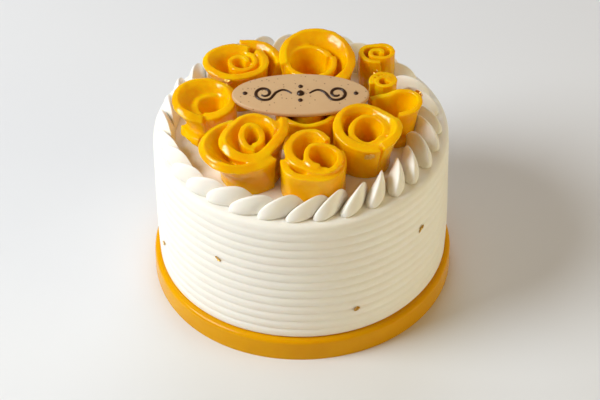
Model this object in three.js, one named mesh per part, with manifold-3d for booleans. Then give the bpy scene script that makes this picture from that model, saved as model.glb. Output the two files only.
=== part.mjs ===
// Mango cake: a cream-covered cake on a mango layer, ringed with piped cream petals and topped with ten mango
// roses and a small chocolate plaque. Millimetres, +Z up. It stands on z = 0 with its centre on the Z axis.
import * as THREE from "three";
import { mergeVertices } from "three/addons/utils/BufferGeometryUtils.js";
import Module from "manifold-3d";

const wasm = await Module();
wasm.setup();

// Clearance between pieces that touch
const GAP = 0.3;

// Mango layer
const LAYER_RADIUS = 78;
const LAYER_HEIGHT = 12.3;
const LAYER_EDGE = 2.6;
const LAYER_SIDES = 48;

// Cream body, combed all round
const BODY_RADIUS = 75.7;
const BODY_FOOT = LAYER_HEIGHT + GAP;
const BODY_TOP = 88;
const BODY_EDGE = 4;
const BODY_SIDES = 46;
const FOOT_TUCK = 1.9;
const FOOT_TUCK_HEIGHT = 40;
const GROOVES = 13;
const GROOVE_DEPTH = 0.9;
const FIRST_GROOVE = 18;
const GROOVE_PITCH = 5.43;
const RIDGE_SHOULDER = 0.27;

// Piped cream petals round the rim
const PETALS = 31;
const PETAL_RING_RADIUS = 71.3;
const PETAL_TURN = 22;
const PETAL_TURN_SWING = 13;
const PETAL_TURNED_MOST = 10;
const PETAL_LENGTH = 25;
const PETAL_WIDTH = 8.6;
const PETAL_HEIGHT = 11;
const PETAL_BEND = 2.6;
const PETAL_WIDEST = 0.35;
const PETAL_TALLEST = 0.62;
const PETAL_BELLY = 0.26;
const PETAL_CREST_LEAN = 0.3;
const PETAL_CREST_EDGE = 2.4;
const PETAL_SIDES = 8;
const PETAL_RINGS = 5;
const FIRST_PETAL = 229.5;

// Mango roses
const SLICE = 2.6;
const SLICE_STEP = 28;
const SLICE_LEVELS = 2;
const ROSE_BED = BODY_TOP + GAP;
const BED_HEIGHT = 2.4;
const BED_SIDES = 10;

// Chocolate plaque
const PLAQUE_LENGTH = 69.3;
const PLAQUE_WIDTH = 29.8;
const PLAQUE_THICK = 2.2;
const PLAQUE_PLACE = new THREE.Vector3(0, -1, 110.2);
const PLAQUE_TILT = 5;
const PLAQUE_SIDES = 28;
const STROKE = 1.7;
const STROKE_STEPS = 16;
const CURL_CENTRE = 18.4;
const CURL_RADIUS = [5.4, 1.6];
const CURL_STEPS = 9;
const WAVE = { from: 4.5, to: 13, rise: 2.6, steps: 3 };
const DOT_FLATNESS = 0.7;
const DOTS = [
  { x: 0, y: 0, size: 1.9 },
  { x: 0, y: 5, size: 1.2 },
  { x: 0, y: -5, size: 1.2 },
  { x: -28, y: 0, size: 1.2 },
  { x: 28, y: 0, size: 1.2 },
];

// Gold flakes
const FLAKE_THICK = 0.9;

// Ten roses of rolled mango slices. Each has the place of its middle at the rim, the drift of that from its foot,
// the radius of its bed, and its slices: the angles a slice is rolled through and the offset of its roll from the
// rose's middle, then the rim's radius, the rim's height and how far the foot is drawn in under the rim, each at
// even steps along the slice. Degrees and mm.
const ROSES = [
  {
    place: [-24, -35],
    drift: [-1, -1],
    bed: 13.5,
    slices: [
      { roll: [-90, 280], offset: [0, 0], radius: [4.6, 5.3, 6, 5.6, 7], rim: [22, 24, 28, 25, 21.5], taper: [0, 1] },
      {
        roll: [20, 398],
        offset: [0, 0],
        radius: [15, 14.6, 13.5, 16.5, 14.4, 12.2, 20.4],
        rim: [25, 27, 25, 22.5, 20.5, 22, 26],
        taper: [4, 5, 6, 8, 4, 3, 6],
      },
      {
        roll: [125, 316],
        offset: [0, 0],
        radius: [16, 21.5, 26.8, 25.5, 19.2, 16],
        rim: [24, 23, 21.5, 20, 19, 19.5],
        taper: [3, 7, 11, 10, 4, 2],
      },
    ],
  },
  {
    place: [7, -43.5],
    drift: [0, -1],
    bed: 13,
    slices: [
      {
        roll: [-70, 266],
        offset: [3.5, -3.5],
        radius: [10.4, 10, 7.5, 8, 7.5, 6.8],
        rim: [20, 22, 23.5, 23.5, 22, 21],
        taper: [1, 1, 1, 0],
      },
      {
        roll: [46, 300],
        offset: [0, 0],
        radius: [11, 14.7, 14.9, 13.1, 11.5, 15],
        rim: [23, 24, 22, 21, 20, 19.5],
        taper: [1, 2, 2, 1],
      },
      {
        roll: [190, 375],
        offset: [0, 0],
        radius: [15.8, 17.7, 16.4, 17.4, 15.8, 13.9],
        rim: [19.5, 18, 17.5, 17.5, 18.5, 20],
        taper: [0, 0.5, 0.5, 0],
      },
    ],
  },
  {
    place: [34, -24],
    drift: [2, -1],
    bed: 12.5,
    slices: [
      {
        roll: [-20, 335],
        offset: [0.7, -2.7],
        radius: [9, 9, 8.8, 9.2, 9, 8],
        rim: [21, 23, 24, 21, 19, 20],
        taper: [1, 1, 2, 1],
      },
      {
        roll: [-60, 295],
        offset: [0, 0],
        radius: [17, 17, 12, 13, 15.5, 16.3, 15.8, 16.5],
        rim: [19.5, 23, 24, 25, 25, 23, 20, 18.5],
        taper: [3, 5, 2, 1, 2, 2, 2, 2],
      },
    ],
  },
  {
    place: [49, -6],
    drift: [1, 0],
    bed: 9,
    slices: [
      {
        roll: [-105, 190],
        offset: [0, 0],
        radius: [9.5, 12.5, 11.5, 12, 11],
        rim: [19.5, 21, 22, 22, 20],
        taper: [1, 3, 2, 1],
      },
    ],
  },
  {
    place: [-47, -3],
    drift: [-2, 0],
    bed: 10,
    slices: [
      { roll: [30, 330], offset: [1, 0], radius: [7, 8, 8.5, 8, 7], rim: [19, 19, 18, 18, 19], taper: [1, 2, 1] },
      {
        roll: [-70, 250],
        offset: [0, 0],
        radius: [12, 14, 15, 18, 17, 13],
        rim: [20, 21, 22, 22, 20, 19],
        taper: [1, 2, 6, 8, 4],
      },
    ],
  },
  {
    place: [-33, 27.5],
    drift: [-1, 1],
    bed: 12,
    slices: [
      { roll: [0, 420], offset: [2, 1], radius: [3.5, 6, 8], rim: [22, 22], taper: [0, 1] },
      {
        roll: [60, 405],
        offset: [0, 0],
        radius: [13, 14, 16.8, 14, 12.5, 15, 15.5],
        rim: [23, 23, 22, 22, 22],
        taper: [3, 6, 2, 3],
      },
      { roll: [10, 100], offset: [4, 0], radius: [20, 19, 18], rim: [19, 22, 22], taper: [3, 3] },
    ],
  },
  {
    place: [5.5, 28],
    drift: [0, 1],
    bed: 14,
    slices: [
      { roll: [20, 380], offset: [-1, 0], radius: [11, 11, 12, 13, 13], rim: [23, 24, 23, 22, 22], taper: [1, 2] },
      {
        roll: [-60, 190],
        offset: [2.5, -1],
        radius: [18, 19, 20, 20, 18],
        rim: [21, 23, 27.6, 27.6, 24],
        taper: [2, 5, 5, 3],
      },
    ],
  },
  {
    place: [42.5, 14.5],
    drift: [0, 0],
    bed: 5,
    slices: [{ roll: [-30, 560], offset: [0, 0], radius: [1.8, 3.8, 6], rim: [21, 20.5], taper: [0, 0] }],
  },
  {
    place: [40, 37],
    drift: [0, 0],
    bed: 6,
    slices: [{ roll: [-30, 660], offset: [0, 0], radius: [2.2, 4.6, 7.6], rim: [21, 20.5], taper: [0, 0] }],
  },
  {
    place: [3.5, -6],
    drift: [0, 0],
    bed: 14,
    slices: [
      { roll: [0, 360], offset: [0, 0], radius: [7, 8], rim: [20.4, 20.4], taper: [0, 1] },
      { roll: [120, 470], offset: [0, 0], radius: [15, 15.5], rim: [20.4, 20.4], taper: [0, 1] },
    ],
  },
];

// Gold flakes on the cream's side: azimuth, height, length, width and turn
const BODY_FLAKES = [
  { azimuth: 323.5, height: 60, length: 4.6, width: 1.7, turn: 40 },
  { azimuth: 292, height: 28.5, length: 3.2, width: 2.2, turn: 20 },
  { azimuth: 237, height: 56.5, length: 3.4, width: 1.7, turn: -35 },
  { azimuth: 200.5, height: 34, length: 2.6, width: 2, turn: 80 },
];

// Gold flakes on the roses: rose, slice, share of the way along it, share of its height, length, width and turn
const ROSE_FLAKES = [
  { rose: 2, slice: 1, along: 0.94, level: 0.86, length: 5, width: 2.4, turn: 10 },
  { rose: 3, slice: 0, along: 0.47, level: 0.88, length: 5, width: 3, turn: -30 },
  { rose: 5, slice: 1, along: 0.55, level: 0.9, length: 5, width: 2.6, turn: 35 },
  { rose: 7, slice: 0, along: 0.86, level: 0.85, length: 3.4, width: 2.2, turn: 80 },
];

const radians = THREE.MathUtils.degToRad;
const mix = THREE.MathUtils.lerp;

// Random numbers from 0 to 1 that are the same on every run
function seeded(seed) {
  let state = seed;
  return () => {
    state = (Math.imul(state, 1664525) + 1013904223) >>> 0;
    return state / 2 ** 32;
  };
}

// Moves every vertex of a geometry by a function of its place
function reshape(geometry, place) {
  const position = geometry.getAttribute("position");
  const point = new THREE.Vector3();
  for (let i = 0; i < position.count; i += 1) {
    place(point.fromBufferAttribute(position, i));
    position.setXYZ(i, point.x, point.y, point.z);
  }
  return geometry;
}

// A closed geometry as a solid that can be cut and joined
function solidOf(geometry) {
  const bare = new THREE.BufferGeometry();
  bare.setAttribute("position", geometry.getAttribute("position").clone());
  bare.setIndex(geometry.getIndex());
  const merged = mergeVertices(bare, 1e-3);
  const index = merged.getIndex().array;
  const corners = [];
  for (let i = 0; i < index.length; i += 3) {
    const [a, b, c] = [index[i], index[i + 1], index[i + 2]];
    if (a !== b && b !== c && c !== a) corners.push(a, b, c);
  }
  return new wasm.Manifold(
    new wasm.Mesh({
      numProp: 3,
      vertProperties: new Float32Array(merged.getAttribute("position").array),
      triVerts: new Uint32Array(corners),
    }),
  );
}

function geometryOf(solid) {
  const mesh = solid.getMesh();
  const geometry = new THREE.BufferGeometry();
  geometry.setAttribute("position", new THREE.BufferAttribute(mesh.vertProperties, 3));
  geometry.setIndex(new THREE.BufferAttribute(mesh.triVerts, 1));
  return geometry;
}

function largestPiece(solid) {
  return solid.decompose().reduce((best, piece) => (piece.volume() > best.volume() ? piece : best));
}

const finishes = {
  mangoLayer: { color: 0xf0ac0a, roughness: 0.25 },
  cream: { color: 0xf7f1e4, roughness: 0.5 },
  mango: { color: 0xf6b20c, roughness: 0.3 },
  plaque: { color: 0xe3c79f, roughness: 0.55 },
};

function named(name, geometry, finish) {
  const material = new THREE.MeshStandardMaterial({ ...finishes[finish], metalness: 0 });
  const mesh = new THREE.Mesh(geometry, material);
  mesh.name = name;
  return mesh;
}

// Slow waves in the radius, as a hand-finished cake has
function handWave(azimuth, height) {
  return 0.22 * Math.sin(3 * azimuth + 0.7) + 0.14 * Math.sin(5 * azimuth + height / 17);
}

function bodyRadius(height) {
  return BODY_RADIUS - FOOT_TUCK * Math.max(0, 1 - height / FOOT_TUCK_HEIGHT) ** 2;
}

// Turns a profile of [radius, height] points round the Z axis, with the hand wave in it
function turned(profile, sides) {
  const points = profile.map(([radius, height]) => new THREE.Vector2(radius, height));
  const lathe = new THREE.LatheGeometry(points, sides).rotateX(Math.PI / 2);
  return reshape(lathe, (point) => {
    const radius = Math.hypot(point.x, point.y);
    if (radius < 1) return;
    const scale = 1 + handWave(Math.atan2(point.y, point.x), point.z) / radius;
    point.x *= scale;
    point.y *= scale;
  });
}

function mangoLayer() {
  const profile = [
    [0, 0],
    [LAYER_RADIUS - 0.8, 0],
    [LAYER_RADIUS, 0.9],
    [LAYER_RADIUS, LAYER_HEIGHT - LAYER_EDGE],
    [LAYER_RADIUS - 0.3 * LAYER_EDGE, LAYER_HEIGHT - 0.3 * LAYER_EDGE],
    [LAYER_RADIUS - LAYER_EDGE, LAYER_HEIGHT],
    [0, LAYER_HEIGHT],
  ];
  return named("mango_layer", turned(profile, LAYER_SIDES), "mangoLayer");
}

// The comb leaves narrow grooves between rounded ridges
function combedProfile() {
  const profile = [
    [0, BODY_FOOT],
    [bodyRadius(BODY_FOOT) - 0.5, BODY_FOOT],
    [bodyRadius(BODY_FOOT), BODY_FOOT + 0.8],
  ];
  for (let k = 0; k < GROOVES; k += 1) {
    const height = FIRST_GROOVE + k * GROOVE_PITCH;
    const shoulder = RIDGE_SHOULDER * GROOVE_PITCH;
    profile.push([bodyRadius(height), height - shoulder]);
    profile.push([bodyRadius(height) - GROOVE_DEPTH, height]);
    profile.push([bodyRadius(height), height + shoulder]);
  }
  for (const share of [0.45, 0.8, 1]) {
    const turn = (share * Math.PI) / 2;
    const inward = BODY_EDGE * (1 - Math.cos(turn));
    profile.push([BODY_RADIUS - inward, BODY_TOP - BODY_EDGE * 0.8 * (1 - Math.sin(turn))]);
  }
  profile.push([0, BODY_TOP]);
  return profile;
}

// A torn bit of gold leaf, half sunk in what it lies on
function flake({ length, width, turn }, seed) {
  const random = seeded(seed);
  const leaf = new THREE.IcosahedronGeometry(1, 0).rotateZ(random() * 3);
  leaf.scale(length / 2, width / 2, FLAKE_THICK / 2).rotateZ(radians(turn));
  return leaf;
}

// Stands a flake on a point with its flat side along the surface
function laid(leaf, point, outward) {
  const stand = new THREE.Object3D();
  stand.up.set(0, 0, 1);
  stand.position.copy(point);
  stand.lookAt(point.clone().add(outward));
  stand.updateMatrixWorld(true);
  return solidOf(leaf.applyMatrix4(stand.matrixWorld));
}

function creamBody() {
  let body = solidOf(turned(combedProfile(), BODY_SIDES));
  BODY_FLAKES.forEach((spec, i) => {
    const azimuth = radians(spec.azimuth);
    const outward = new THREE.Vector3(Math.cos(azimuth), Math.sin(azimuth), 0);
    const point = outward.clone().multiplyScalar(BODY_RADIUS - 0.25 + handWave(azimuth, spec.height));
    point.z = spec.height;
    body = body.add(laid(flake(spec, 11 + i), point, outward));
  });
  return named("cream_body", geometryOf(body), "cream");
}

// Grows round from a petal's blunt end to its fullest place, then tapers to its tip
function swell(share, fullest, taper) {
  if (share < fullest) return Math.sqrt(1 - (1 - share / fullest) ** 2);
  return Math.cos((Math.PI / 2) * ((share - fullest) / (1 - fullest))) ** taper;
}

// A squeeze of cream from a slit nozzle: blunt outside, a crest along its back, and a tip drawn off inwards
function petalGeometry({ length, width, height, bend }) {
  const petal = new THREE.SphereGeometry(1, PETAL_SIDES, PETAL_RINGS);
  return reshape(petal, (point) => {
    const share = (1 - point.y) / 2;
    const across = Math.atan2(point.z, point.x);
    const upward = Math.sin(across);
    const atEnd = Math.hypot(point.x, point.z) < 1e-6;
    const half = atEnd ? 0 : (swell(share, PETAL_WIDEST, 1.25) * width) / 2;
    const crest = atEnd ? 0 : swell(share, PETAL_TALLEST, 0.8) * height;
    const back = PETAL_BELLY + (1 - PETAL_BELLY) * Math.max(0, upward) ** PETAL_CREST_EDGE;
    const underside = PETAL_BELLY * Math.max(0, 1 + 1.6 * upward);
    const rise = crest * (upward > 0 ? back : underside);
    point.set(share * length, half * Math.cos(across) + bend * share ** 2 + PETAL_CREST_LEAN * rise, rise);
  });
}

function petalSpecs() {
  const random = seeded(7);
  const about = (size, share) => size * (1 + share * (2 * random() - 1));
  return Array.from({ length: PETALS }, (_, i) => {
    const azimuth = FIRST_PETAL + (i * 360) / PETALS + 1.2 * (random() - 0.5);
    const swing = PETAL_TURN_SWING * Math.cos(radians(azimuth - PETAL_TURNED_MOST));
    return {
      azimuth,
      turn: PETAL_TURN + swing + 5 * (random() - 0.5),
      radius: PETAL_RING_RADIUS + 0.8 * (random() - 0.5),
      length: about(PETAL_LENGTH, 0.05),
      width: about(PETAL_WIDTH, 0.04),
      height: about(PETAL_HEIGHT, 0.08),
      bend: about(PETAL_BEND, 0.3),
    };
  });
}

// Puts a petal on the rim: its blunt end out, its tip turned inwards and onwards round the cake
function stood(object, { azimuth, turn, radius }) {
  const angle = radians(azimuth);
  object.position.set(radius * Math.cos(angle), radius * Math.sin(angle), BODY_TOP + GAP);
  object.rotation.z = angle + Math.PI / 2 + radians(turn);
  object.updateMatrixWorld(true);
  return object;
}

function petalSolid(spec) {
  const place = stood(new THREE.Object3D(), spec);
  return solidOf(petalGeometry(spec).applyMatrix4(place.matrixWorld));
}

// The same petals a little larger, for cutting what stands beside them
function petalRooms() {
  return petalSpecs().map((spec) => {
    const { width, height, length } = spec;
    return petalSolid({ ...spec, width: width + 2 * GAP, height: height + GAP, length: length + GAP });
  });
}

// Each petal covers the tip of the one before it
function creamPetals(rooms) {
  return petalSpecs().map((spec, i) => {
    const solid = largestPiece(petalSolid(spec).subtract(rooms[(i + 1) % PETALS]));
    return named(`cream_petal_${String(i + 1).padStart(2, "0")}`, geometryOf(solid), "cream");
  });
}

// A smooth value between evenly spaced ones, at a share of the way along them
function alongValues(values, share) {
  const last = values.length - 1;
  const k = Math.min(Math.floor(share * last), last - 1);
  const part = share * last - k;
  const [start, end] = [values[k], values[k + 1]];
  const before = values[Math.max(k - 1, 0)];
  const after = values[Math.min(k + 2, last)];
  const cubic = 3 * (start - end) + after - before;
  const square = 2 * before - 5 * start + 4 * end - after;
  return start + 0.5 * part * (end - before + part * (square + part * cubic));
}

// The point of a slice at a share of its length and height, so far out of its middle, in the cake's frame
function slicePoint(rose, slice, along, level, out) {
  const angle = radians(mix(...slice.roll, along));
  const drawnIn = 1 - level ** 2;
  const radius = alongValues(slice.radius, along) - alongValues(slice.taper, along) * drawnIn + out;
  return new THREE.Vector3(
    rose.place[0] - rose.drift[0] * drawnIn + slice.offset[0] + radius * Math.cos(angle),
    rose.place[1] - rose.drift[1] * drawnIn + slice.offset[1] + radius * Math.sin(angle),
    ROSE_BED + alongValues(slice.rim, along) * level,
  );
}

// A flat slice of mango rolled into a spiral wall, thinner at its two ends
function rolledSlice(rose, slice, room) {
  const steps = Math.ceil((slice.roll[1] - slice.roll[0]) / SLICE_STEP);
  const wall = new THREE.BoxGeometry(1, 1, 1, steps, 1, SLICE_LEVELS);
  reshape(wall, (point) => {
    const along = point.x + 0.5;
    const level = point.z + 0.5;
    const thick = SLICE * (1 - 0.45 * Math.abs(2 * along - 1) ** 6) + 2 * room;
    point.copy(slicePoint(rose, slice, along, level, -point.y * thick));
    point.z += room * level;
  });
  return solidOf(wall);
}

// A rose is its slices, joined at the bottom by the mango that sits in the cream
function roseSolid(rose, room) {
  const bed = new THREE.CylinderGeometry(rose.bed + room, rose.bed + room, BED_HEIGHT + room, BED_SIDES);
  const [x, y] = [rose.place[0] - rose.drift[0], rose.place[1] - rose.drift[1]];
  bed.rotateX(Math.PI / 2).translate(x, y, ROSE_BED + (BED_HEIGHT + room) / 2);
  const parts = rose.slices.map((slice) => rolledSlice(rose, slice, room));
  return wasm.Manifold.union([...parts, solidOf(bed)]);
}

function roseFlake(spec, seed) {
  const rose = ROSES[spec.rose];
  const slice = rose.slices[spec.slice];
  const surface = slicePoint(rose, slice, spec.along, spec.level, SLICE / 2);
  const outward = surface.clone().sub(slicePoint(rose, slice, spec.along, spec.level, 0)).normalize();
  return laid(flake(spec, seed), surface.addScaledVector(outward, -0.1), outward);
}

// The roses in front come first. Each later one is cut clear of those before it, the petals and the plaque.
function mangoRoses(petals, plaqueRoom) {
  const kept = [];
  return ROSES.map((rose, i) => {
    let solid = roseSolid(rose, 0).subtract(petals).subtract(plaqueRoom);
    kept.forEach((other) => {
      solid = solid.subtract(other);
    });
    solid = largestPiece(solid);
    kept.push(roseSolid(rose, GAP));
    ROSE_FLAKES.forEach((spec, k) => {
      if (spec.rose === i) solid = solid.add(roseFlake(spec, 31 + k));
    });
    return named(`mango_rose_${String(i + 1).padStart(2, "0")}`, geometryOf(solid), "mango");
  });
}

function inPlaquePlace(geometry) {
  return geometry.rotateX(radians(PLAQUE_TILT)).translate(...PLAQUE_PLACE);
}

// The oval tablet, its top edge slightly rounded
function tablet(room) {
  const half = PLAQUE_LENGTH / 2 + room;
  const top = PLAQUE_THICK + 2 * room;
  const profile = [
    [0, 0],
    [half - 0.4, 0],
    [half, 0.5],
    [half - 0.2, top - 0.6],
    [half - 0.9, top],
    [0, top],
  ];
  const points = profile.map(([radius, height]) => new THREE.Vector2(radius, height - room));
  const lathe = new THREE.LatheGeometry(points, PLAQUE_SIDES).rotateX(Math.PI / 2);
  return inPlaquePlace(lathe.scale(1, (PLAQUE_WIDTH / 2 + room) / half, 1));
}

// Half of the piped ornament: a wave from the middle that ends in a curl
function scrollPath(side) {
  const points = [];
  for (let k = 0; k <= WAVE.steps; k += 1) {
    const share = k / WAVE.steps;
    const rise = WAVE.rise * Math.sin(share * Math.PI);
    points.push(new THREE.Vector3(side * mix(WAVE.from, WAVE.to, share), rise, 0));
  }
  for (let k = 1; k <= CURL_STEPS; k += 1) {
    const angle = radians(-150 + 52 * k);
    const radius = mix(...CURL_RADIUS, k / CURL_STEPS);
    const along = CURL_CENTRE + radius * Math.cos(angle);
    points.push(new THREE.Vector3(side * along, radius * Math.sin(angle), 0));
  }
  return new THREE.CatmullRomCurve3(points);
}

function stroke(path) {
  const half = STROKE / 2;
  const section = new THREE.Shape([
    new THREE.Vector2(half, 0),
    new THREE.Vector2(0, half),
    new THREE.Vector2(-half, 0),
    new THREE.Vector2(0, -half),
  ]);
  return new THREE.ExtrudeGeometry(section, { steps: STROKE_STEPS, extrudePath: path, bevelEnabled: false });
}

function ornament() {
  const strokes = [-1, 1].map((side) => stroke(scrollPath(side)));
  const dots = DOTS.map(({ x, y, size }) =>
    new THREE.IcosahedronGeometry(size, 0).scale(1, 1, DOT_FLATNESS).translate(x, y, 0),
  );
  return [...strokes, ...dots].map((part) => solidOf(inPlaquePlace(part.translate(0, 0, PLAQUE_THICK))));
}

function chocolatePlaque() {
  const solid = wasm.Manifold.union([solidOf(tablet(0)), ...ornament()]);
  return named("chocolate_plaque", geometryOf(solid), "plaque");
}

const cake = new THREE.Group();
cake.add(mangoLayer());
cake.add(creamBody());
const petalSpace = petalRooms();
cake.add(...creamPetals(petalSpace));
cake.add(...mangoRoses(wasm.Manifold.union(petalSpace), solidOf(tablet(GAP))));
cake.add(chocolatePlaque());

export default cake;
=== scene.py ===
import math
from contextlib import contextmanager

import bmesh
import bpy
from mathutils import Matrix, Vector


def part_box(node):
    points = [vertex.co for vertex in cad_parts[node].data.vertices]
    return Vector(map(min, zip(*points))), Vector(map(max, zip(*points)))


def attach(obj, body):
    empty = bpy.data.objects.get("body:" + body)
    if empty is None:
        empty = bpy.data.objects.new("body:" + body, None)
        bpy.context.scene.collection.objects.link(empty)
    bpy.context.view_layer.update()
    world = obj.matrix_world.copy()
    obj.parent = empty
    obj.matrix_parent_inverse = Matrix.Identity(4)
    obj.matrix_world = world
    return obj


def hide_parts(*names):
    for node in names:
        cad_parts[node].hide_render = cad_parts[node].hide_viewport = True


bl_info = {
    "name": "Mango cake",
    "version": (1, 0, 0),
    "blender": (4, 5, 0),
    "location": "View3D > Sidebar > Mango cake",
    "description": "Dresses a packed mango cake with cream, rolled mango slices, gold leaf and a chocolate plaque",
    "category": "Object",
}

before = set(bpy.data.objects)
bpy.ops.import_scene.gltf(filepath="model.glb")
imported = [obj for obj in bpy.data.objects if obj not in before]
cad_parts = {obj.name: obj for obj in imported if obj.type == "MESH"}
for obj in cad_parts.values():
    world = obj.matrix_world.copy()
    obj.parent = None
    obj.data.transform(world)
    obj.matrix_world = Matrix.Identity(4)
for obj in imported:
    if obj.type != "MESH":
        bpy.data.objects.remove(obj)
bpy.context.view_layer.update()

MM = 0.001

# The layer and the body take their sizes from the frame
LAYER_LOW, LAYER_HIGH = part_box("mango_layer")
BODY_LOW, BODY_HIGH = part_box("cream_body")
CREAM_TOP = BODY_HIGH[2]

# The comb's grooves
GROOVES = 13
FIRST_GROOVE = 18 * MM
GROOVE_PITCH = 5.43 * MM
POINTS_A_PITCH = 8
BODY_SIDES = 288
BODY_EDGE = 4 * MM
FOOT_TUCK = 1.9 * MM
FOOT_TUCK_HEIGHT = 40 * MM

# Piped petals
PETALS = 31
PETAL_RING_RADIUS = 71.3 * MM
PETAL_TURN = 35
PETAL_TURN_SWING = 15
PETAL_TURNED_MOST = 10
FIRST_PETAL = 229.5
PETAL_WIDEST = 0.35
PETAL_TALLEST = 0.62
PETAL_STATIONS = (0.012, 0.05, 0.12, 0.22, 0.34, 0.47, 0.6, 0.72, 0.83, 0.92, 0.985)

# A petal's section, as shares of its width and height: a steep outer face up to a crest, and a long slope inside
PETAL_SECTION = (
    (-0.3, -0.05), (-0.44, 0.05), (-0.5, 0.28), (-0.45, 0.55), (-0.34, 0.82), (-0.25, 0.96), (-0.18, 1.0),
    (-0.1, 0.95), (0.02, 0.8), (0.17, 0.56), (0.32, 0.34), (0.45, 0.16), (0.48, 0.03), (0.36, -0.05), (0.03, -0.06),
)

# Rolled mango slices
SLICE_FOOT = -3 * MM
SLICE_ROWS = 9
HEART_FILL = 2 * MM
SLICE_FILL = 5.5 * MM
ROLL_FILL = 0.6 * MM
BED_HEIGHT = 4 * MM
ROSE_VOXEL = 0.5 * MM
ROLL_VOXEL = 0.3 * MM

# How far gold leaf stands off the mango
LEAF_LIFT = 0.6 * MM

# The plaque
PLAQUE_LENGTH = 69.3 * MM
PLAQUE_WIDTH = 29.8 * MM
PLAQUE_THICK = 2.2 * MM
PLAQUE_PLACE = Vector((0, -1, 110.2)) * MM
PLAQUE_TILT = 5

# Camera, found from the photo: what it looks at, from how far, and its angles in degrees
CAMERA_AIM = Vector((-1.66, 46.5, 0)) * MM
CAMERA_DISTANCE = 1.5138
CAMERA_ELEVATION = 40.91
CAMERA_YAW = 0.98
CAMERA_ROLL = -0.66
CAMERA_LENS = 166.95


def slice_spec(roll, radius, offset, rim, taper):
    """Angles a slice is rolled through and the offset of its roll, then its rim's radius, its rim's height and how far
    its foot is drawn in, each at even steps along it."""
    return {"roll": roll, "radius": radius, "offset": offset, "rim": rim, "taper": taper}


# Each rose's middle at the rim, how far that is out from its foot, bed radius and slices, in degrees and mm
ROSES = (
    ((-24, -35), (-1, -1), 13.5, (
        slice_spec((-90, 280), (4.6, 5.3, 6, 5.6, 7), (0, 0), (22, 24, 28, 25, 21.5), (0, 1)),
        slice_spec((20, 398), (15, 14.6, 13.5, 16.5, 14.4, 12.2, 20.4), (0, 0), (25, 27, 25, 22.5, 20.5, 22, 26),
                   (4, 5, 6, 8, 4, 3, 6)),
        slice_spec((125, 316), (16, 21.5, 26.8, 25.5, 19.2, 16), (0, 0), (24, 23, 21.5, 20, 19, 19.5),
                   (3, 7, 11, 10, 4, 2)),
    )),
    ((7, -43.5), (0, -1), 13, (
        slice_spec((-70, 266), (10.4, 10, 7.5, 8, 7.5, 6.8), (3.5, -3.5), (20, 22, 23.5, 23.5, 22, 21), (1, 1, 1, 0)),
        slice_spec((46, 300), (11, 14.7, 14.9, 13.1, 11.5, 15), (0, 0), (23, 24, 22, 21, 20, 19.5), (1, 2, 2, 1)),
        slice_spec((190, 375), (15.8, 17.7, 16.4, 17.4, 15.8, 13.9), (0, 0), (19.5, 18, 17.5, 17.5, 18.5, 20),
                   (0, 0.5, 0.5, 0)),
    )),
    ((34, -24), (2, -1), 12.5, (
        slice_spec((-20, 335), (9, 9, 8.8, 9.2, 9, 8), (0.7, -2.7), (21, 23, 24, 21, 19, 20), (1, 1, 2, 1)),
        slice_spec((-60, 295), (17, 17, 12, 13, 15.5, 16.3, 15.8, 16.5), (0, 0),
                   (19.5, 23, 24, 25, 25, 23, 20, 18.5), (3, 5, 2, 1, 2, 2, 2, 2)),
    )),
    ((49, -6), (1, 0), 9, (
        slice_spec((-85, 146), (5.6, 7.2, 10, 12.2, 12.4, 11.2, 11, 16), (0, 0), (19.5, 20.5, 22, 21.5, 18),
                   (0, 3, 3, 1, 0)),
    )),
    ((-47, -3), (-2, 0), 10, (
        slice_spec((48, 232), (12.4, 9.4, 7.4, 6.6, 6.6), (0, 0), (17, 17.5, 16), (1, 2, 1)),
        slice_spec((-115, 258), (9.2, 9.8, 13.6, 16.8, 17.8, 16.8, 12.8), (0, 0), (17.5, 18.5, 20, 21, 22, 20, 18),
                   (1, 1, 2, 5, 7, 7, 3)),
        slice_spec((200, 254), (15.2, 14.8, 17), (0, 0), (4, 6, 5), (5.5, 5.5, 7)),
    )),
    ((-33, 27.5), (-1, 1), 12, (
        slice_spec((0, 420), (3.5, 6, 8), (2, 1), (22, 22), (0, 1)),
        slice_spec((60, 405), (13, 14, 16.8, 14, 12.5, 15, 15.5), (0, 0), (23, 23, 22, 22, 22), (3, 6, 2, 3)),
        slice_spec((10, 100), (20, 19, 18), (4, 0), (19, 22, 22), (3, 3)),
    )),
    ((5.5, 28), (0, 1), 14, (
        slice_spec((20, 380), (11, 11, 12, 13, 13), (-1, 0), (23, 24, 23, 22, 22), (1, 2)),
        slice_spec((-60, 190), (18, 19, 20, 20, 18), (2.5, -1), (21, 23, 27.6, 27.6, 24), (2, 5, 5, 3)),
    )),
    ((42.5, 14.5), (0, 0), 7, (
        slice_spec((-30, 560), (2.2, 4.5, 7), (0, 0), (21, 20.5), (0, 0)),
    )),
    ((39.5, 37.5), (0, 0), 7.9, (
        slice_spec((-20, 640), (2.2, 2.6, 2.3, 3.6, 3.8, 3.8, 7.2, 8, 6.4, 8.8, 8, 7.3), (0, 0), (21, 20.5), (0, 0)),
    )),
    ((3.5, -6), (0, 0), 14, (
        slice_spec((0, 360), (7, 8), (0, 0), (20.4, 20.4), (0, 1)),
        slice_spec((120, 470), (15, 15.5), (0, 0), (20.4, 20.4), (0, 1)),
    )),
)

# Gold leaf on the cream's side: azimuth, height, length, width, turn
BODY_LEAVES = (
    (323.5, 60, 4.6, 1.7, 40),
    (292, 28.5, 3.2, 2.2, 20),
    (237, 56.5, 3.4, 1.7, -35),
    (200.5, 34, 2.6, 2, 80),
)

# Gold leaf on the roses: rose, slice, share along it, share of its height, length, width, turn
ROSE_LEAVES = (
    (2, 1, 0.94, 0.86, 5.5, 3, 10),
    (3, 0, 0.54, 0.94, 6, 4, -30),
    (5, 1, 0.55, 0.9, 6, 3.4, 35),
    (7, 0, 0.86, 0.9, 4.4, 3, 80),
)


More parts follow.
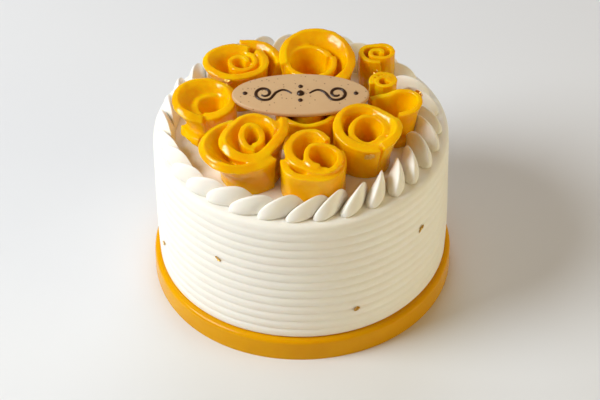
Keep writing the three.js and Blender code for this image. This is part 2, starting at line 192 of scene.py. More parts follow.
class CakeSettings(bpy.types.PropertyGroup):
    """Sizes and colours of the cake's dressing"""

    slice_thickness: bpy.props.FloatProperty(
        name="Slice thickness", description="Thickness of a mango slice", default=2.5 * MM, unit="LENGTH")
    groove_depth: bpy.props.FloatProperty(
        name="Groove depth", description="Depth of the comb's grooves in the cream", default=0.6 * MM, unit="LENGTH")
    petal_length: bpy.props.FloatProperty(
        name="Petal length", description="Length of a piped cream petal", default=26 * MM, unit="LENGTH")
    petal_width: bpy.props.FloatProperty(
        name="Petal width", description="Width of a piped cream petal", default=9.6 * MM, unit="LENGTH")
    petal_height: bpy.props.FloatProperty(
        name="Petal height", description="Height of a petal's crest", default=11.8 * MM, unit="LENGTH")
    petal_bend: bpy.props.FloatProperty(
        name="Petal bend", description="How far a petal's tip bends inwards", default=2.6 * MM, unit="LENGTH")
    stroke: bpy.props.FloatProperty(
        name="Piping width", description="Width of the piped chocolate line", default=1.7 * MM, unit="LENGTH")
    cream: bpy.props.FloatVectorProperty(
        name="Cream", description="Colour of the whipped cream", subtype="COLOR", size=4,
        default=(0.93, 0.895, 0.8, 1), min=0, max=1)
    mango: bpy.props.FloatVectorProperty(
        name="Mango", description="Colour of the ripe mango flesh", subtype="COLOR", size=4,
        default=(0.93, 0.5, 0, 1), min=0, max=1)
    # The layer colour is partly the mango layer's own orange and partly painted shade: it is darkened to stand for the
    # shade on the layer's front.
    layer: bpy.props.FloatVectorProperty(
        name="Mango layer", description="Colour of the mango layer under the cream", subtype="COLOR", size=4,
        default=(0.76, 0.37, 0, 1), min=0, max=1)
    plaque: bpy.props.FloatVectorProperty(
        name="Plaque", description="Colour of the blond chocolate plaque", subtype="COLOR", size=4,
        default=(0.66, 0.43, 0.22, 1), min=0, max=1)
    chocolate: bpy.props.FloatVectorProperty(
        name="Dark chocolate", description="Colour of the piped ornament", subtype="COLOR", size=4,
        default=(0.03, 0.01, 0.004, 1), min=0, max=1)
    gold: bpy.props.FloatVectorProperty(
        name="Gold leaf", description="Colour of the gold leaf", subtype="COLOR", size=4,
        default=(1.0, 0.68, 0.16, 1), min=0, max=1)


def settings():
    return bpy.context.scene.mango_cake


def mix(pair, share):
    return pair[0] + (pair[1] - pair[0]) * share


def seeded(seed):
    """Gives the random numbers that the solids use, so that each petal here is the one in the frame."""
    state = seed
    while True:
        state = (state * 1664525 + 1013904223) % 2**32
        yield state / 2**32


# Modelling helpers

def choose(*objects):
    bpy.ops.object.select_all(action="DESELECT")
    for item in objects:
        item.select_set(True)
    bpy.context.view_layer.objects.active = objects[0]


@contextmanager
def editing(obj, action="SELECT"):
    """Edit mode on one object, with all of it selected or nothing."""
    choose(obj)
    bpy.ops.object.mode_set(mode="EDIT")
    bpy.ops.mesh.select_all(action=action)
    yield bmesh.from_edit_mesh(obj.data)
    bpy.ops.object.mode_set(mode="OBJECT")


def select_edges(shape, test):
    """Selects the edges whose two ends both pass a test of their place."""
    for edge in shape.edges:
        edge.select_set(all(test(vert.co) for vert in edge.verts))
    shape.select_flush_mode()


def added(obj, kind, **values):
    """Adds a modifier, sets its values and applies it."""
    choose(obj)
    modifier = obj.modifiers.new(kind.title(), kind)
    for name, value in values.items():
        setattr(modifier, name, value)
    bpy.ops.object.modifier_apply(modifier=modifier.name)


def settle(obj, place):
    """Moves each vertex of a finished mesh by a function of its place."""
    for vert in obj.data.vertices:
        vert.co = place(vert.co.copy())
    obj.data.update()


def apply_place(obj):
    choose(obj)
    bpy.ops.object.transform_apply(location=True, rotation=True, scale=True)


def joined(objects, name):
    choose(*objects)
    if len(objects) > 1:
        bpy.ops.object.join()
    result = bpy.context.view_layer.objects.active
    result.name = name
    return result


def smooth(obj, angle=40):
    choose(obj)
    bpy.ops.object.shade_smooth_by_angle(angle=math.radians(angle))


def dressed(obj, name, finish, nodes=()):
    """Names a piece, gives it its finish and ties it to the frame."""
    obj.name = name
    obj.data.name = name
    if finish is not None:
        obj.data.materials.clear()
        obj.data.materials.append(finish)
    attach(obj, "root")
    if nodes:
        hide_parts(*nodes)
    return obj


# Node groups and finishes

def new_group(name, inputs, outputs):
    """An empty shader node group with named sockets, and its input and output nodes."""
    group = bpy.data.node_groups.new(name, "ShaderNodeTree")
    for socket, kind, value in inputs:
        made = group.interface.new_socket(socket, in_out="INPUT", socket_type=kind)
        if value is not None:
            made.default_value = value
    for socket, kind in outputs:
        group.interface.new_socket(socket, in_out="OUTPUT", socket_type=kind)
    start = group.nodes.new("NodeGroupInput")
    end = group.nodes.new("NodeGroupOutput")
    return group, start, end


def node(tree, kind, **values):
    """Adds a node. Names that are sockets set the sockets, and the others set the node itself."""
    made = tree.nodes.new(kind)
    for name, value in values.items():
        if hasattr(made, name):
            setattr(made, name, value)
        else:
            made.inputs[name.replace("_", " ").title()].default_value = value
    return made


def mottling_group():
    """Soft patches between two colours."""
    group, start, end = new_group(
        "Mottling",
        [("Vector", "NodeSocketVector", None), ("Colour A", "NodeSocketColor", (1, 1, 1, 1)),
         ("Colour B", "NodeSocketColor", (0, 0, 0, 1)), ("Scale", "NodeSocketFloat", 40.0)],
        [("Colour", "NodeSocketColor"), ("Mask", "NodeSocketFloat")])
    link = group.links.new
    coarse = node(group, "ShaderNodeTexNoise", detail=4.0, roughness=0.55)
    link(start.outputs["Vector"], coarse.inputs["Vector"])
    link(start.outputs["Scale"], coarse.inputs["Scale"])
    range_node = node(group, "ShaderNodeMapRange", from_min=0.32, from_max=0.68)
    link(coarse.outputs["Fac"], range_node.inputs["Value"])
    blend = node(group, "ShaderNodeMix", data_type="RGBA")
    link(range_node.outputs["Result"], blend.inputs["Factor"])
    link(start.outputs["Colour A"], blend.inputs["A"])
    link(start.outputs["Colour B"], blend.inputs["B"])
    link(blend.outputs["Result"], end.inputs["Colour"])
    link(range_node.outputs["Result"], end.inputs["Mask"])
    return group


def relief_group():
    """Fine unevenness as a normal: soft swells with small pits in them."""
    group, start, end = new_group(
        "Relief",
        [("Vector", "NodeSocketVector", None), ("Swell Scale", "NodeSocketFloat", 150.0),
         ("Pit Scale", "NodeSocketFloat", 900.0), ("Strength", "NodeSocketFloat", 0.2),
         ("Distance", "NodeSocketFloat", 0.0005)],
        [("Normal", "NodeSocketVector")])
    link = group.links.new
    swell = node(group, "ShaderNodeTexNoise", detail=3.0)
    pits = node(group, "ShaderNodeTexVoronoi", feature="SMOOTH_F1")
    link(start.outputs["Vector"], swell.inputs["Vector"])
    link(start.outputs["Vector"], pits.inputs["Vector"])
    link(start.outputs["Swell Scale"], swell.inputs["Scale"])
    link(start.outputs["Pit Scale"], pits.inputs["Scale"])
    height = node(group, "ShaderNodeMath", operation="MULTIPLY_ADD")
    link(pits.outputs["Distance"], height.inputs[0])
    height.inputs[1].default_value = 0.35
    link(swell.outputs["Fac"], height.inputs[2])
    bump = node(group, "ShaderNodeBump")
    link(height.outputs[0], bump.inputs["Height"])
    link(start.outputs["Strength"], bump.inputs["Strength"])
    link(start.outputs["Distance"], bump.inputs["Distance"])
    link(bump.outputs["Normal"], end.inputs["Normal"])
    return group


def new_finish(name):
    """A material with a Principled shader, and object coordinates to drive its patterns."""
    finish = bpy.data.materials.new(name)
    finish.use_nodes = True
    tree = finish.node_tree
    shader = tree.nodes["Principled BSDF"]
    place = tree.nodes.new("ShaderNodeTexCoord").outputs["Object"]
    return finish, tree, shader, place


def use_group(tree, name, place, **values):
    made = tree.nodes.new("ShaderNodeGroup")
    made.node_tree = bpy.data.node_groups[name]
    tree.links.new(place, made.inputs["Vector"])
    for socket, value in values.items():
        made.inputs[socket.replace("_", " ")].default_value = value
    return made


def shade(colour, factor, warm=1.0):
    """A colour made lighter or darker, and warmer by taking green and blue down."""
    red, green, blue, alpha = colour
    return (min(1, red * factor), min(1, green * factor * warm), min(1, blue * factor * warm), alpha)


def cream_finish():
    finish, tree, shader, place = new_finish("Whipped cream")
    colour = tuple(settings().cream)
    patches = use_group(tree, "Mottling", place, Colour_A=colour, Colour_B=shade(colour, 0.985, 0.985), Scale=60.0)
    relief = use_group(tree, "Relief", place, Swell_Scale=260.0, Pit_Scale=1500.0, Strength=0.25, Distance=0.0004)
    tree.links.new(patches.outputs["Colour"], shader.inputs["Base Color"])
    tree.links.new(relief.outputs["Normal"], shader.inputs["Normal"])
    shader.inputs["Roughness"].default_value = 0.48
    shader.inputs["Subsurface Weight"].default_value = 0.35
    shader.inputs["Subsurface Radius"].default_value = (0.006, 0.005, 0.004)
    shader.inputs["Subsurface Scale"].default_value = 0.5
    shader.inputs["Specular IOR Level"].default_value = 0.35
    return finish


def mango_finish():
    finish, tree, shader, place = new_finish("Ripe mango")
    colour = tuple(settings().mango)
    patches = use_group(tree, "Mottling", place, Colour_A=shade(colour, 1.04, 1.06),
                        Colour_B=shade(colour, 0.93, 0.84), Scale=55.0)
    relief = use_group(tree, "Relief", place, Swell_Scale=180.0, Pit_Scale=1100.0, Strength=0.18, Distance=0.0004)
    tree.links.new(patches.outputs["Colour"], shader.inputs["Base Color"])
    tree.links.new(relief.outputs["Normal"], shader.inputs["Normal"])
    shader.inputs["Roughness"].default_value = 0.12
    shader.inputs["Specular IOR Level"].default_value = 0.34
    shader.inputs["Subsurface Weight"].default_value = 0.7
    shader.inputs["Subsurface Radius"].default_value = (0.007, 0.003, 0.0005)
    shader.inputs["Subsurface Scale"].default_value = 0.8
    return finish


def layer_finish_with_painted_shade():
    finish, tree, shader, place = new_finish("Mango layer")
    # This base colour holds painted shade: the layer's own orange, darkened for the shade that falls on its front. The
    # patches are random tone.
    colour = tuple(settings().layer)
    patches = use_group(tree, "Mottling", place, Colour_A=colour, Colour_B=shade(colour, 0.94, 0.94), Scale=45.0)
    relief = use_group(tree, "Relief", place, Swell_Scale=70.0, Pit_Scale=700.0, Strength=0.12, Distance=0.0005)
    tree.links.new(patches.outputs["Colour"], shader.inputs["Base Color"])
    tree.links.new(relief.outputs["Normal"], shader.inputs["Normal"])
    shader.inputs["Roughness"].default_value = 0.2
    shader.inputs["Specular IOR Level"].default_value = 0.15
    shader.inputs["Subsurface Weight"].default_value = 0.4
    shader.inputs["Subsurface Radius"].default_value = (0.006, 0.0028, 0.0004)
    shader.inputs["Subsurface Scale"].default_value = 0.6
    return finish


def plaque_finish():
    finish, tree, shader, place = new_finish("Blond chocolate")
    colour = tuple(settings().plaque)
    patches = use_group(tree, "Mottling", place, Colour_A=colour, Colour_B=shade(colour, 0.95, 0.97), Scale=90.0)
    specks = node(tree, "ShaderNodeTexVoronoi", feature="F1")
    specks.inputs["Scale"].default_value = 420.0
    tree.links.new(place, specks.inputs["Vector"])
    mask = node(tree, "ShaderNodeMapRange", from_min=0.1, from_max=0.2, to_min=0.75, to_max=0.0)
    tree.links.new(specks.outputs["Distance"], mask.inputs["Value"])
    blend = node(tree, "ShaderNodeMix", data_type="RGBA")
    blend.inputs["B"].default_value = (0.16, 0.06, 0.02, 1)
    tree.links.new(mask.outputs["Result"], blend.inputs["Factor"])
    tree.links.new(patches.outputs["Colour"], blend.inputs["A"])
    tree.links.new(blend.outputs["Result"], shader.inputs["Base Color"])
    relief = use_group(tree, "Relief", place, Swell_Scale=220.0, Pit_Scale=1300.0, Strength=0.15, Distance=0.0003)
    tree.links.new(relief.outputs["Normal"], shader.inputs["Normal"])
    shader.inputs["Roughness"].default_value = 0.5
    shader.inputs["Subsurface Weight"].default_value = 0.1
    shader.inputs["Subsurface Radius"].default_value = (0.003, 0.002, 0.001)
    return finish


def chocolate_finish():
    finish, tree, shader, place = new_finish("Dark chocolate")
    colour = tuple(settings().chocolate)
    patches = use_group(tree, "Mottling", place, Colour_A=colour, Colour_B=shade(colour, 1.6), Scale=300.0)
    relief = use_group(tree, "Relief", place, Swell_Scale=700.0, Pit_Scale=2500.0, Strength=0.2, Distance=0.0002)
    tree.links.new(patches.outputs["Colour"], shader.inputs["Base Color"])
    tree.links.new(relief.outputs["Normal"], shader.inputs["Normal"])
    shader.inputs["Roughness"].default_value = 0.3
    return finish


def gold_finish():
    finish, tree, shader, place = new_finish("Gold leaf")
    colour = tuple(settings().gold)
    patches = use_group(tree, "Mottling", place, Colour_A=colour, Colour_B=shade(colour, 0.8, 0.85), Scale=900.0)
    relief = use_group(tree, "Relief", place, Swell_Scale=1400.0, Pit_Scale=4000.0, Strength=0.7, Distance=0.0003)
    tree.links.new(patches.outputs["Colour"], shader.inputs["Base Color"])
    tree.links.new(relief.outputs["Normal"], shader.inputs["Normal"])
    shader.inputs["Metallic"].default_value = 1.0
    shader.inputs["Roughness"].default_value = 0.28
    return finish


# Pieces

def hand_wave(azimuth, height):
    """The slow waves in the radius that a hand-finished cake has, as in the solids."""
    return (0.22 * math.sin(3 * azimuth + 0.7) + 0.14 * math.sin(5 * azimuth + height / (17 * MM))) * MM


def waved(co):
    radius = math.hypot(co.x, co.y)
    if radius < MM:
        return co
    scale = 1 + hand_wave(math.atan2(co.y, co.x), co.z) / radius
    return Vector((co.x * scale, co.y * scale, co.z))


def ring_up(shape_scale, rise):
    """Extrudes the selected ring by a rise and then scales it about the cake's axis."""
    bpy.ops.mesh.extrude_region_move(TRANSFORM_OT_translate={"value": (0, 0, rise)})
    bpy.ops.transform.resize(value=(shape_scale, shape_scale, 1), center_override=(0, 0, 0))


def turned_shell(profile, sides):
    """A closed shell made by drawing a ring up through a profile of radius and height."""
    start = profile[0]
    bpy.ops.mesh.primitive_circle_add(vertices=sides, radius=start[0], fill_type="NGON", location=(0, 0, start[1]))
    shell = bpy.context.object
    apply_place(shell)
    with editing(shell, "DESELECT") as shape:
        for edge in shape.edges:
            edge.select_set(True)
        shape.select_flush_mode()
        bpy.ops.mesh.select_mode(type="EDGE")
        for (radius, height), (next_radius, next_height) in zip(profile, profile[1:]):
            ring_up(next_radius / radius, next_height - height)
        bpy.ops.mesh.merge(type="CENTER")
        bpy.ops.mesh.select_all(action="SELECT")
        bpy.ops.mesh.normals_make_consistent(inside=False)
    return shell


class CAKE_OT_layer(bpy.types.Operator):
    """Makes the mango layer that the cream body stands on"""

    bl_idname = "mango_cake.layer"
    bl_label = "Mango layer"

    def execute(self, context):
        radius = LAYER_HIGH[0] - 0.3 * MM
        height = LAYER_HIGH[2]
        bpy.ops.mesh.primitive_cylinder_add(vertices=240, radius=radius, depth=height, location=(0, 0, height / 2))
        layer = bpy.context.object
        apply_place(layer)
        with editing(layer, "DESELECT") as shape:
            select_edges(shape, lambda co: co.z > height - 0.01 * MM)
            bpy.ops.mesh.bevel(offset=2.4 * MM, segments=6)
            bpy.ops.mesh.select_all(action="DESELECT")
            shape = bmesh.from_edit_mesh(layer.data)
            select_edges(shape, lambda co: co.z < 0.01 * MM)
            bpy.ops.mesh.bevel(offset=0.8 * MM, segments=3)
        settle(layer, waved)
        smooth(layer)
        dressed(layer, "layer", layer_finish_with_painted_shade(), ("mango_layer",))
        return {"FINISHED"}


def body_radius(height):
    tuck = max(0, 1 - height / FOOT_TUCK_HEIGHT)
    return 75.7 * MM - FOOT_TUCK * tuck**2


def combed_profile(depth):
    """Radius and height up the combed side, over the rounded rim and in to the middle."""
    foot = BODY_LOW[2]
    profile = [(body_radius(foot) - 1.2 * MM, foot), (body_radius(foot) - 0.4 * MM, foot + 0.2 * MM)]
    step = GROOVE_PITCH / POINTS_A_PITCH
    height = foot + 0.9 * MM
    while height < CREAM_TOP - BODY_EDGE:
        phase = (height - FIRST_GROOVE) / GROOVE_PITCH
        near = abs(phase - round(phase))
        counted = 0 <= round(phase) < GROOVES
        groove = math.exp(-((near / 0.17) ** 2)) if counted else 0
        profile.append((body_radius(height) - depth * groove, height))
        height += step
    for share in (0.25, 0.5, 0.7, 0.85, 1):
        turn = share * math.pi / 2
        inward = BODY_EDGE * (1 - math.cos(turn))
        profile.append((body_radius(CREAM_TOP) - inward, CREAM_TOP - BODY_EDGE * 0.8 * (1 - math.sin(turn))))
    for radius in (66, 58, 48, 36, 22, 8):
        profile.append((radius * MM, CREAM_TOP))
    return profile


class CAKE_OT_body(bpy.types.Operator):
    """Makes the combed cream body"""

    bl_idname = "mango_cake.body"
    bl_label = "Cream body"

    def execute(self, context):
        body = turned_shell(combed_profile(settings().groove_depth), BODY_SIDES)
        settle(body, waved)
        smooth(body, 60)
        dressed(body, "body", cream_finish(), ("cream_body",))
        return {"FINISHED"}


def swell(share, fullest, taper):
    if share < fullest:
        return math.sqrt(1 - (1 - share / fullest) ** 2)
    return math.cos((math.pi / 2) * ((share - fullest) / (1 - fullest))) ** taper


def pattern_petal():
    """A petal of unit length, width and height, drawn out ring by ring from its blunt end."""
    bpy.ops.mesh.primitive_circle_add(vertices=len(PETAL_SECTION), radius=1, fill_type="NOTHING")
    petal = bpy.context.object
    with editing(petal) as shape:
        shape.verts.ensure_lookup_table()
        first = PETAL_STATIONS[0]
        for vert, (across, rise) in zip(shape.verts, PETAL_SECTION):
            vert.co = (first, across * swell(first, PETAL_WIDEST, 1.25), rise * swell(first, PETAL_TALLEST, 0.8))
        bpy.ops.mesh.edge_face_add()
        bpy.ops.mesh.select_mode(type="EDGE")
        for share, onward in zip(PETAL_STATIONS, PETAL_STATIONS[1:]):
            bpy.ops.mesh.extrude_region_move(TRANSFORM_OT_translate={"value": (onward - share, 0, 0)})
            wider = swell(onward, PETAL_WIDEST, 1.25) / swell(share, PETAL_WIDEST, 1.25)
            taller = swell(onward, PETAL_TALLEST, 0.8) / swell(share, PETAL_TALLEST, 0.8)
            bpy.ops.transform.resize(value=(1, wider, taller), center_override=(onward, 0, 0))
        bpy.ops.mesh.select_all(action="SELECT")
        bpy.ops.mesh.normals_make_consistent(inside=False)
    added(petal, "SUBSURF", levels=2, render_levels=2)
    return petal


def petal_specs():
    draw = seeded(7)
    sizes = settings()

    def about(size, share):
        return size * (1 + share * (2 * next(draw) - 1))

    specs = []
    for k in range(PETALS):
        azimuth = FIRST_PETAL + k * 360 / PETALS + 1.2 * (next(draw) - 0.5)
        swing = PETAL_TURN_SWING * math.cos(math.radians(azimuth - PETAL_TURNED_MOST))
        specs.append({
            "azimuth": azimuth,
            "turn": PETAL_TURN + swing + 5 * (next(draw) - 0.5),
            "radius": PETAL_RING_RADIUS + 0.8 * (next(draw) - 0.5) * MM,
            "length": about(sizes.petal_length, 0.05),
            "width": about(sizes.petal_width, 0.04),
            "height": about(sizes.petal_height, 0.08),
            "bend": about(sizes.petal_bend, 0.3),
        })
    return specs


def bent(spec):
    """The bend of a petal's tip."""
    def place(co):
        return Vector((co.x, co.y + spec["bend"] * (co.x / spec["length"]) ** 2, co.z))
    return place


class CAKE_OT_petals(bpy.types.Operator):
    """Pipes the cream petals round the rim, one model copied and varied"""

    bl_idname = "mango_cake.petals"
    bl_label = "Cream petals"

    def execute(self, context):
        pattern = pattern_petal()
        finish = bpy.data.materials["Whipped cream"]
        for k, spec in enumerate(petal_specs()):
            choose(pattern)
            bpy.ops.object.duplicate(linked=False)
            petal = bpy.context.object
            petal.scale = (spec["length"], spec["width"], spec["height"])
            apply_place(petal)
            settle(petal, bent(spec))
            angle = math.radians(spec["azimuth"])
            petal.location = (spec["radius"] * math.cos(angle), spec["radius"] * math.sin(angle), CREAM_TOP)
            petal.rotation_euler = (0, 0, angle + math.pi / 2 + math.radians(spec["turn"]))
            apply_place(petal)
            smooth(petal, 60)
            dressed(petal, f"petal_{k + 1:02d}", finish, (f"cream_petal_{k + 1:02d}",))
        bpy.data.objects.remove(pattern)
        return {"FINISHED"}


def along_values(values, share):
    """A smooth value between evenly spaced ones, at a share of the way along them."""
    last = len(values) - 1
    place = min(max(share, 0), 1) * last
    k = min(int(place), last - 1)
    part = place - k
    before = values[max(k - 1, 0)]
    start = values[k]
    end = values[k + 1]
    after = values[min(k + 2, last)]
    cubic = 3 * (start - end) + after - before
    square = 2 * before - 5 * start + 4 * end - after
    return start + 0.5 * part * (end - before + part * (square + part * cubic))


def slice_height(spec, along):
    return along_values(spec["rim"], along) * MM


def drawn_in(level):
    """How much of the taper a slice has at a share of its height: all of it at the foot, none at the rim."""
    return 1 - level**2


def footed(rose, point, level):
    """A point of a rose about its own middle, moved to the cake, its foot in from its rim."""
    place, drift, _, _ = rose
    shift = drawn_in(level)
    move = Vector(((place[0] - drift[0] * shift) * MM, (place[1] - drift[1] * shift) * MM, CREAM_TOP))
    return point + move


def rim_point(spec, along, level=1, out=0):
    """A point of a slice about its rose's middle, at a share of its length and height, so far out of its middle."""
    angle = math.radians(mix(spec["roll"], along))
    taper = along_values(spec["taper"], along) * drawn_in(level)
    radius = (along_values(spec["radius"], along) - taper) * MM + out
    return Vector((
        spec["offset"][0] * MM + radius * math.cos(angle),
        spec["offset"][1] * MM + radius * math.sin(angle),
        slice_height(spec, along) * level,
    ))


def slice_point(rose, spec, along, level, out):
    """The same point on the cake."""
    return footed(rose, rim_point(spec, along, level, out), level)


def roll_places(spec):
    """Points of the spiral that a slice is rolled along, flat, and the length of the spiral up to each."""
    steps = max(12, round((spec["roll"][1] - spec["roll"][0]) / 6))
    points = [rim_point(spec, k / steps).to_2d() for k in range(steps + 1)]
    lengths = [0]
    for start, end in zip(points, points[1:]):
        lengths.append(lengths[-1] + (end - start).length)
    return points, lengths


def roll_path(points):
    bpy.ops.curve.primitive_nurbs_path_add()
    path = bpy.context.object
    path.data.splines.clear()
    spline = path.data.splines.new("POLY")
    spline.points.add(len(points) - 1)
    for point, (x, y) in zip(spline.points, points):
        point.co = (x, y, 0, 1)
    path.data.use_stretch = True
    path.data.use_deform_bounds = True
    return path


def flat_slice(spec, lengths, thickness, fill):
    """A slice of mango before it is rolled: cut to its rim's line, drawn in towards its foot and thicker there."""
    columns = max(10, round(lengths[-1] / (2 * MM)))
    bpy.ops.mesh.primitive_grid_add(x_subdivisions=columns, y_subdivisions=SLICE_ROWS, size=1)
    sheet = bpy.context.object

    def place(co):
        along = co.x + 0.5
        level = co.y + 0.5
        height = slice_height(spec, along)
        low = SLICE_FOOT + (height - SLICE_FOOT) * level
        taper = along_values(spec["taper"], along) * drawn_in(max(0, low / height)) * MM
        return Vector((along_values(lengths, along), taper - thickness / 2, low))

    settle(sheet, place)
    depth = sheet.vertex_groups.new(name="depth")
    top = max(spec["rim"]) * MM
    for vert in sheet.data.vertices:
        sunk = min(1, max(0, 1 - vert.co.z / top))
        depth.add([vert.index], (thickness + fill * math.sqrt(sunk)) / (thickness + fill), "REPLACE")
    return sheet


def rolled_slice(rose, spec, fill):
    """Rolls a flat slice along its spiral and gives it its thickness, more at the foot, where slices press together."""
    points, lengths = roll_places(spec)
    thickness = settings().slice_thickness
    sheet = flat_slice(spec, lengths, thickness, fill)
    path = roll_path(points)
    added(sheet, "CURVE", object=path, deform_axis="POS_X")
    bpy.data.objects.remove(path)
    added(sheet, "SOLIDIFY", thickness=thickness + fill, offset=-1, vertex_group="depth", thickness_vertex_group=0)
    rim = max(spec["rim"]) * MM

    def place(co):
        return footed(rose, co, max(0, min(1, co.z / rim)))

    settle(sheet, place)
    return sheet


def rose_bed(rose):
    """The mango at the foot of a rose, pressed into the cream."""
    place, drift, radius, _ = rose
    centre = ((place[0] - drift[0]) * MM, (place[1] - drift[1]) * MM, CREAM_TOP)
    bpy.ops.mesh.primitive_cylinder_add(vertices=48, radius=radius * MM, depth=2 * BED_HEIGHT, location=centre)
    bed = bpy.context.object
    apply_place(bed)
    with editing(bed, "DESELECT") as shape:
        select_edges(shape, lambda co: co.z > CREAM_TOP)
        bpy.ops.mesh.bevel(offset=0.8 * MM, segments=3)
    return bed


class CAKE_OT_roses(bpy.types.Operator):
    """Rolls the mango roses from flat slices"""

    bl_idname = "mango_cake.roses"
    bl_label = "Mango roses"

    def execute(self, context):
        finish = mango_finish()
        waves = bpy.data.textures.new("Hand cut", "CLOUDS")
        waves.noise_scale = 9 * MM
        for k, rose in enumerate(ROSES):
            tight = len(rose[3]) == 1 and rose[2] < 8
            fills = [ROLL_FILL] if tight else [HEART_FILL] + [SLICE_FILL] * (len(rose[3]) - 1)
            parts = [rolled_slice(rose, spec, fill) for spec, fill in zip(rose[3], fills)]
            parts.append(rose_bed(rose))
            whole = joined(parts, f"rose_{k + 1:02d}")
            added(whole, "REMESH", mode="VOXEL", voxel_size=ROLL_VOXEL if tight else ROSE_VOXEL)
            added(whole, "SMOOTH", factor=0.5, iterations=12)
            added(whole, "DISPLACE", texture=waves, texture_coords="LOCAL", strength=1.0 * MM, mid_level=0.5)
            smooth(whole, 180)
            dressed(whole, f"rose_{k + 1:02d}", finish, (f"mango_rose_{k + 1:02d}",))
        return {"FINISHED"}


def scroll_points(side):
    """Half of the piped ornament: a wave from the middle that ends in a curl."""
    points = []
    for k in range(7):
        share = k / 6
        points.append((side * mix((4.5, 13), share), 2.6 * math.sin(share * math.pi)))
    for k in range(1, 28):
        angle = math.radians(-150 + 52 * k / 3)
        radius = mix((5.4, 1.6), k / 27)
        points.append((side * (18.4 + radius * math.cos(angle)), radius * math.sin(angle)))
    return points


def piped_line(points, width):
    """A line of chocolate as it leaves the piping bag: thin at its ends and a little flattened."""
    bpy.ops.curve.primitive_nurbs_path_add()
    line = bpy.context.object
    line.data.splines.clear()
    spline = line.data.splines.new("NURBS")
    spline.points.add(len(points) - 1)
    for k, (x, y) in enumerate(points):
        share = k / (len(points) - 1)
        spline.points[k].co = (x * MM, y * MM, 0, 1)
        spline.points[k].radius = 0.55 + 0.45 * math.sin(math.pi * share) ** 0.5
    spline.use_endpoint_u = True
    spline.order_u = 4
    spline.resolution_u = 4
    line.data.bevel_depth = width / 2
    line.data.bevel_resolution = 3
    line.data.use_fill_caps = True
    choose(line)
    bpy.ops.object.convert(target="MESH")
    line.scale = (1, 1, 0.75)
    apply_place(line)
    return line


def drop(x, y, size):
    bpy.ops.mesh.primitive_uv_sphere_add(segments=24, ring_count=14, radius=size * MM, location=(x * MM, y * MM, 0))
    dot = bpy.context.object
    dot.scale = (1, 1, 0.7)
    apply_place(dot)
    return dot


def put_on_cake(obj, lift):
    """Takes a piece from the plaque's own flat place to where it lies on the roses."""
    obj.location = PLAQUE_PLACE + Vector((0, 0, lift))
    obj.rotation_euler = (math.radians(PLAQUE_TILT), 0, 0)
    apply_place(obj)


class CAKE_OT_plaque(bpy.types.Operator):
    """Makes the oval plaque and its piped ornament"""

    bl_idname = "mango_cake.plaque"
    bl_label = "Chocolate plaque"

    def execute(self, context):
        bpy.ops.mesh.primitive_cylinder_add(
            vertices=160, radius=PLAQUE_LENGTH / 2, depth=PLAQUE_THICK, location=(0, 0, PLAQUE_THICK / 2))
        tablet = bpy.context.object
        tablet.scale = (1, PLAQUE_WIDTH / PLAQUE_LENGTH, 1)
        apply_place(tablet)
        with editing(tablet, "DESELECT") as shape:
            select_edges(shape, lambda co: co.z > PLAQUE_THICK - 0.01 * MM)
            bpy.ops.mesh.bevel(offset=0.9 * MM, segments=4)
            bpy.ops.mesh.select_all(action="DESELECT")
            select_edges(bmesh.from_edit_mesh(tablet.data), lambda co: co.z < 0.01 * MM)
            bpy.ops.mesh.bevel(offset=0.4 * MM, segments=2)
        put_on_cake(tablet, 0)
        smooth(tablet)
        dressed(tablet, "plaque", plaque_finish(), ("chocolate_plaque",))
        width = settings().stroke
        parts = [piped_line(scroll_points(side), width) for side in (-1, 1)]
        for x, y, size in ((0, 0, 1.9), (0, 5, 1.2), (0, -5, 1.2), (-28, 0, 1.2), (28, 0, 1.2)):
            parts.append(drop(x, y, size))
        ornament = joined(parts, "ornament")
        put_on_cake(ornament, PLAQUE_THICK)
        smooth(ornament, 60)
        dressed(ornament, "ornament", chocolate_finish(), ())
        return {"FINISHED"}


def torn_leaf(length, width, turn, draw):
    """A crumpled scrap of gold leaf, ragged along its edges."""
    bpy.ops.mesh.primitive_grid_add(x_subdivisions=8, y_subdivisions=5, size=1)
    leaf = bpy.context.object

    def place(co):
        ragged = 1 + 0.3 * (next(draw) - 0.5)
        taper = 1 - 0.45 * abs(2 * co.x) ** 2
        x = co.x * length * ragged
        y = co.y * width * taper * ragged
        return Vector((x * MM, y * MM, 0.9 * (next(draw) - 0.3) * MM))

    settle(leaf, place)
    added(leaf, "SOLIDIFY", thickness=0.08 * MM, offset=0)
    leaf.rotation_euler = (0, 0, math.radians(turn))
    apply_place(leaf)
    return leaf


def laid(leaf, point, outward):
    """Lays a scrap flat on a surface."""
    leaf.rotation_euler = outward.to_track_quat("Z", "Y").to_euler()
    leaf.location = point
    apply_place(leaf)
    return leaf


class CAKE_OT_gold(bpy.types.Operator):
    """Lays the gold leaf on the cream and the roses"""

    bl_idname = "mango_cake.gold"
    bl_label = "Gold leaf"

    def execute(self, context):
        draw = seeded(19)
        leaves = []
        for azimuth, height, length, width, turn in BODY_LEAVES:
            angle = math.radians(azimuth)
            outward = Vector((math.cos(angle), math.sin(angle), 0))
            point = outward * (75.75 * MM + hand_wave(angle, height * MM))
            point.z = height * MM
            leaves.append(laid(torn_leaf(length, width, turn, draw), point, outward))
        for rose, part, along, level, length, width, turn in ROSE_LEAVES:
            spec = ROSES[rose][3][part]
            surface = slice_point(ROSES[rose], spec, along, level, settings().slice_thickness / 2)
            outward = (surface - slice_point(ROSES[rose], spec, along, level, 0)).normalized()
            leaves.append(laid(torn_leaf(length, width, turn, draw), surface + outward * LEAF_LIFT, outward))
        gold = joined(leaves, "gold_leaf")
        smooth(gold, 15)
        dressed(gold, "gold_leaf", gold_finish(), ())
        return {"FINISHED"}


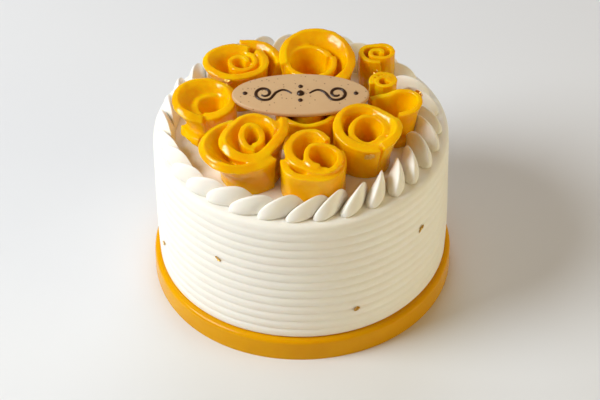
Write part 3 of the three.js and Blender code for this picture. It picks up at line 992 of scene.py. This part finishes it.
def area_light(name, azimuth, elevation, distance, size, power, colour):
    """A soft lamp aimed at the cake from an azimuth and an elevation, in degrees."""
    around = math.radians(azimuth)
    up = math.radians(elevation)
    away = Vector((math.cos(around) * math.cos(up), math.sin(around) * math.cos(up), math.sin(up)))
    aim = Vector((0, 0, 0.06))
    bpy.ops.object.light_add(type="AREA", location=aim + away * distance)
    lamp = bpy.context.object
    lamp.name = name
    lamp.rotation_euler = away.to_track_quat("Z", "Y").to_euler()
    lamp.data.shape = "DISK"
    lamp.data.size = size
    lamp.data.energy = power
    lamp.data.color = colour
    return lamp


def photo_camera():
    bpy.ops.object.camera_add()
    camera = bpy.context.object
    turn = Matrix.Rotation(math.radians(CAMERA_YAW), 4, "Z")
    tip = Matrix.Rotation(math.radians(90 - CAMERA_ELEVATION), 4, "X")
    roll = Matrix.Rotation(math.radians(CAMERA_ROLL), 4, "Z")
    facing = turn @ tip
    place = CAMERA_AIM + facing.to_3x3() @ Vector((0, 0, CAMERA_DISTANCE))
    camera.matrix_world = Matrix.Translation(place) @ facing @ roll
    camera.data.lens = CAMERA_LENS
    camera.data.sensor_width = 36
    camera.data.sensor_fit = "HORIZONTAL"
    camera.data.clip_start = 0.05
    bpy.context.scene.camera = camera


class CAKE_OT_stage(bpy.types.Operator):
    """Sets the pale floor, the soft light and the camera"""

    bl_idname = "mango_cake.stage"
    bl_label = "Stage"

    def execute(self, context):
        bpy.ops.mesh.primitive_plane_add(size=6, location=(0, 0, 0))
        floor = bpy.context.object
        floor.name = "floor"
        pale, tree, shader, place = new_finish("Pale floor")
        patches = use_group(tree, "Mottling", place, Colour_A=(0.8, 0.8, 0.79, 1), Colour_B=(0.78, 0.78, 0.77, 1),
                            Scale=3.0)
        tree.links.new(patches.outputs["Colour"], shader.inputs["Base Color"])
        shader.inputs["Roughness"].default_value = 0.8
        floor.data.materials.append(pale)
        area_light("key", 195, 40, 1.3, 0.7, 17.6, (0.86, 0.93, 1.0))
        back = area_light("back", 90, 40, 1.5, 1.0, 7.3, (0.6, 0.74, 1.0))
        back.visible_glossy = False
        low = area_light("low", 340, 12, 1.3, 0.8, 5.5, (1.0, 0.92, 0.6))
        low.visible_glossy = False
        world = bpy.data.worlds.new("Studio")
        world.use_nodes = True
        sky = world.node_tree.nodes["Background"]
        sky.inputs["Color"].default_value = (1.0, 0.72, 0.4, 1)
        sky.inputs["Strength"].default_value = 0.25
        scene = context.scene
        scene.world = world
        scene.view_settings.view_transform = "Standard"
        photo_camera()
        return {"FINISHED"}


class CAKE_PT_panel(bpy.types.Panel):
    """Lists the cake's sizes, colours and pieces in the 3D view's sidebar"""

    bl_idname = "CAKE_PT_panel"
    bl_label = "Mango cake"
    bl_space_type = "VIEW_3D"
    bl_region_type = "UI"
    bl_category = "Mango cake"

    def draw(self, context):
        column = self.layout.column()
        for name in CakeSettings.__annotations__:
            column.prop(settings(), name)
        for piece in PIECES:
            column.operator(piece.bl_idname)


PIECES = (CAKE_OT_layer, CAKE_OT_body, CAKE_OT_petals, CAKE_OT_roses, CAKE_OT_plaque, CAKE_OT_gold, CAKE_OT_stage)
CLASSES = (CakeSettings, *PIECES, CAKE_PT_panel)


def register():
    for item in CLASSES:
        bpy.utils.register_class(item)
    bpy.types.Scene.mango_cake = bpy.props.PointerProperty(type=CakeSettings)


def unregister():
    del bpy.types.Scene.mango_cake
    for item in reversed(CLASSES):
        bpy.utils.unregister_class(item)


def main():
    register()
    mottling_group()
    relief_group()
    bpy.ops.mango_cake.layer()
    bpy.ops.mango_cake.body()
    bpy.ops.mango_cake.petals()
    bpy.ops.mango_cake.roses()
    bpy.ops.mango_cake.plaque()
    bpy.ops.mango_cake.gold()
    bpy.ops.mango_cake.stage()


if __name__ == "__main__":
    main()
